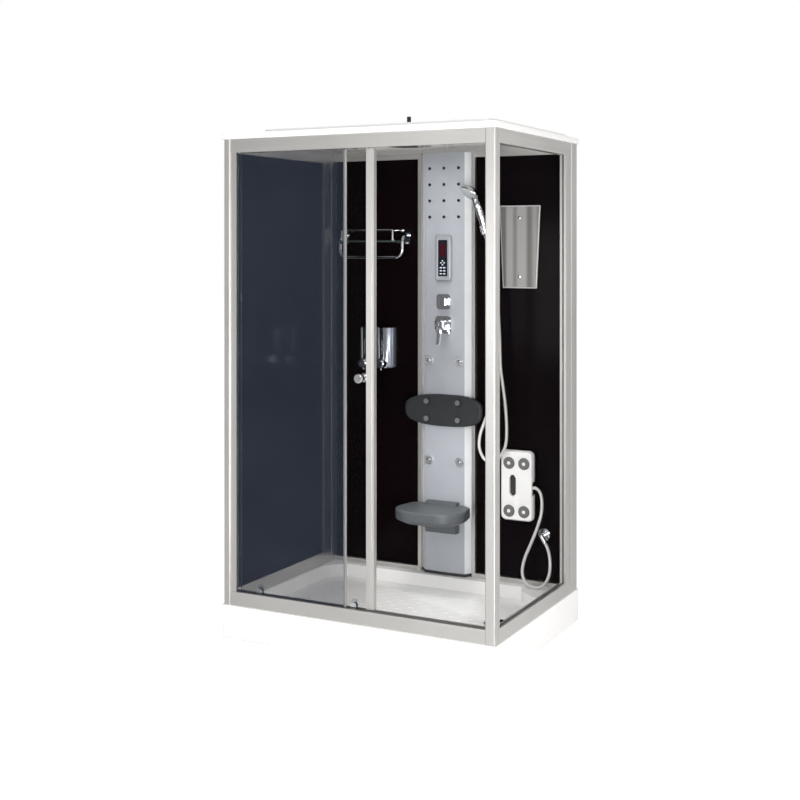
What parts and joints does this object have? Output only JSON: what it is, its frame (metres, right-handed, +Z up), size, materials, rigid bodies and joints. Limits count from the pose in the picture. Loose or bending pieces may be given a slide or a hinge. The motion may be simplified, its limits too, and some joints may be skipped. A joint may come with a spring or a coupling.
{
  "type": "shower enclosure",
  "caption": "Box shower cabin with a sliding glass door, low tray, roof, shower column with jets, folding seat, shelf, mirror and handset.",
  "frame": {"origin": "bottom centre of the tray footprint, on the floor", "axes": "+X to the right seen from the front, +Y towards the back wall, +Z up"},
  "size_m": [1.27, 0.94, 2.239],
  "materials": {
    "tray_white": "gloss acrylic",
    "roof_white": "gloss acrylic",
    "zinc_steel": "zinc plated",
    "black_rubber": "matt",
    "grey_plastic": "matt",
    "aluminium": "satin anodised",
    "tinted_glass": "grey tinted, toughened",
    "black_glass": "black backed, toughened",
    "clear_glass": "clear, toughened",
    "seal": "soft, translucent",
    "chrome": "polished",
    "chromed_plastic": "chrome plated plastic",
    "roller_plastic": "moulded",
    "silver_panel": "satin silver",
    "black_plastic": "matt",
    "screen": "dark red lens",
    "brass": "cast, bare",
    "pipe_plastic": "extruded",
    "pad_foam": "matt",
    "seat_plastic": "satin",
    "silver_plastic": "satin silver paint",
    "mirror_glass": "silvered",
    "hose_skin": "silver, smooth",
    "roof_white_small": "moulded"
  },
  "bodies": {
    "cabin": {"tray": "tray_white", "support_frame": "zinc_steel", "levelling_feet": "black_rubber", "waste_trap": "grey_plastic", "corner_posts": "aluminium", "door_track_top": "aluminium", "door_track_bottom": "aluminium", "side_rails": "aluminium", "back_frame": "aluminium", "glazing_channels": "aluminium", "wall_glass": "black_glass", "side_glass": "clear_glass", "fixed_glass": "tinted_glass", "glass_seals": "seal", "tower_shell": "silver_panel", "tower_base_cap": "black_plastic", "mini_jets": "chromed_plastic", "control_bezel": "silver_plastic", "control_lens": "screen", "valve_plates": "chrome", "valve_bodies": "brass", "jet_bodies": "chromed_plastic", "water_pipes": "pipe_plastic", "massage_pad": "pad_foam", "pad_nozzles": "chromed_plastic", "seat_bracket": "seat_plastic", "shelf_glass": "clear_glass", "shelf_rail": "chrome", "soap_dispensers": "silver_plastic", "mirror": "mirror_glass", "shower_hose": "hose_skin", "foot_massager": "silver_plastic", "massager_discs": "chromed_plastic", "massager_hose": "hose_skin", "wall_fittings": "chrome", "roof": "roof_white", "rain_head": "chromed_plastic", "fan_grille": "roof_white_small"},
    "door": {"door_glass": "tinted_glass", "door_edge_profile": "aluminium", "door_knobs": "chrome", "door_hangers": "chrome"},
    "top_wheel_left": {"top_roller_left": "roller_plastic"},
    "top_wheel_right": {"top_roller_right": "roller_plastic"},
    "low_wheel_left": {"lower_roller_left": "roller_plastic"},
    "low_wheel_right": {"lower_roller_right": "roller_plastic"},
    "mixer_handle": {"mixer_hub": "chrome"},
    "lever": {"mixer_lever": "chrome"},
    "diverter": {"diverter_knob": "chrome"},
    "jet_1": {"jet_nozzle_1": "chromed_plastic"},
    "jet_2": {"jet_nozzle_2": "chromed_plastic"},
    "jet_3": {"jet_nozzle_3": "chromed_plastic"},
    "jet_4": {"jet_nozzle_4": "chromed_plastic"},
    "soap_button_left": {"dispenser_button_left": "chromed_plastic"},
    "soap_button_right": {"dispenser_button_right": "chromed_plastic"},
    "folding_seat": {"seat": "seat_plastic"},
    "shower_cup": {"hand_shower_holder": "chromed_plastic", "hand_shower": "chromed_plastic"},
    "fan": {"fan_rotor": "black_plastic"},
    "drain_lid": {"drain_cover": "chromed_plastic"}
  },
  "joints": [
    {"name": "door_slide", "type": "slide", "parent": "cabin", "child": "door", "axis": [1, 0, 0], "range_m": [0, 0.487]},
    {"name": "top_wheel_left_spin", "type": "hinge", "parent": "door", "child": "top_wheel_left", "pos_m": [-0.464, -0.41875, 2.1093], "axis": [0, 1, 0], "continuous": true},
    {"name": "top_wheel_right_spin", "type": "hinge", "parent": "door", "child": "top_wheel_right", "pos_m": [-0.007, -0.41875, 2.1093], "axis": [0, 1, 0], "continuous": true},
    {"name": "low_wheel_left_spin", "type": "hinge", "parent": "door", "child": "low_wheel_left", "pos_m": [-0.464, -0.41875, 0.2083], "axis": [0, 1, 0], "continuous": true},
    {"name": "low_wheel_right_spin", "type": "hinge", "parent": "door", "child": "low_wheel_right", "pos_m": [-0.007, -0.41875, 0.2083], "axis": [0, 1, 0], "continuous": true},
    {"name": "mixer_temperature", "type": "hinge", "parent": "cabin", "child": "mixer_handle", "pos_m": [0, 0.372, 1.305], "axis": [0, 1, 0], "range_deg": [-45, 45]},
    {"name": "mixer_flow", "type": "hinge", "parent": "mixer_handle", "child": "lever", "pos_m": [0, 0.3597, 1.305], "axis": [-1, 0, 0], "range_deg": [0, 25]},
    {"name": "diverter_turn", "type": "hinge", "parent": "cabin", "child": "diverter", "pos_m": [0, 0.38, 1.412], "axis": [0, 1, 0], "range_deg": [-135, 135]},
    {"name": "jet_1_tilt", "type": "hinge", "parent": "cabin", "child": "jet_1", "pos_m": [-0.079, 0.40137, 1.138], "axis": [1, 0, 0], "range_deg": [-15, 15]},
    {"name": "jet_2_tilt", "type": "hinge", "parent": "cabin", "child": "jet_2", "pos_m": [0.079, 0.40137, 1.138], "axis": [1, 0, 0], "range_deg": [-15, 15]},
    {"name": "jet_3_tilt", "type": "hinge", "parent": "cabin", "child": "jet_3", "pos_m": [-0.079, 0.40137, 0.673], "axis": [1, 0, 0], "range_deg": [-15, 15]},
    {"name": "jet_4_tilt", "type": "hinge", "parent": "cabin", "child": "jet_4", "pos_m": [0.079, 0.40137, 0.673], "axis": [1, 0, 0], "range_deg": [-15, 15]},
    {"name": "soap_push_left", "type": "slide", "parent": "cabin", "child": "soap_button_left", "axis": [0, 1, 0], "range_m": [0, 0.006], "stiffness_N_per_m": 400},
    {"name": "soap_push_right", "type": "slide", "parent": "cabin", "child": "soap_button_right", "axis": [0, 1, 0], "range_m": [0, 0.006], "stiffness_N_per_m": 400},
    {"name": "seat_fold", "type": "hinge", "parent": "cabin", "child": "folding_seat", "pos_m": [0, 0.3777, 0.462], "axis": [-1, 0, 0], "range_deg": [0, 86]},
    {"name": "holder_tilt", "type": "hinge", "parent": "cabin", "child": "shower_cup", "pos_m": [0.226, 0.378, 1.745], "axis": [1, 0, 0], "range_deg": [-15, 15], "deforming": ["shower_hose"]},
    {"name": "fan_spin", "type": "hinge", "parent": "cabin", "child": "fan", "pos_m": [-0.33, 0.06, 2.145], "axis": [0, 0, 1], "continuous": true},
    {"name": "drain_lift", "type": "slide", "parent": "cabin", "child": "drain_lid", "axis": [0, 0, 1], "range_m": [0, 0.05]}
  ],
  "couplings": [
    {"joint": "top_wheel_left_spin", "follows": "door_slide", "rad_per_m": 100},
    {"joint": "top_wheel_right_spin", "follows": "door_slide", "rad_per_m": 100},
    {"joint": "low_wheel_left_spin", "follows": "door_slide", "rad_per_m": 125},
    {"joint": "low_wheel_right_spin", "follows": "door_slide", "rad_per_m": 125}
  ]
}
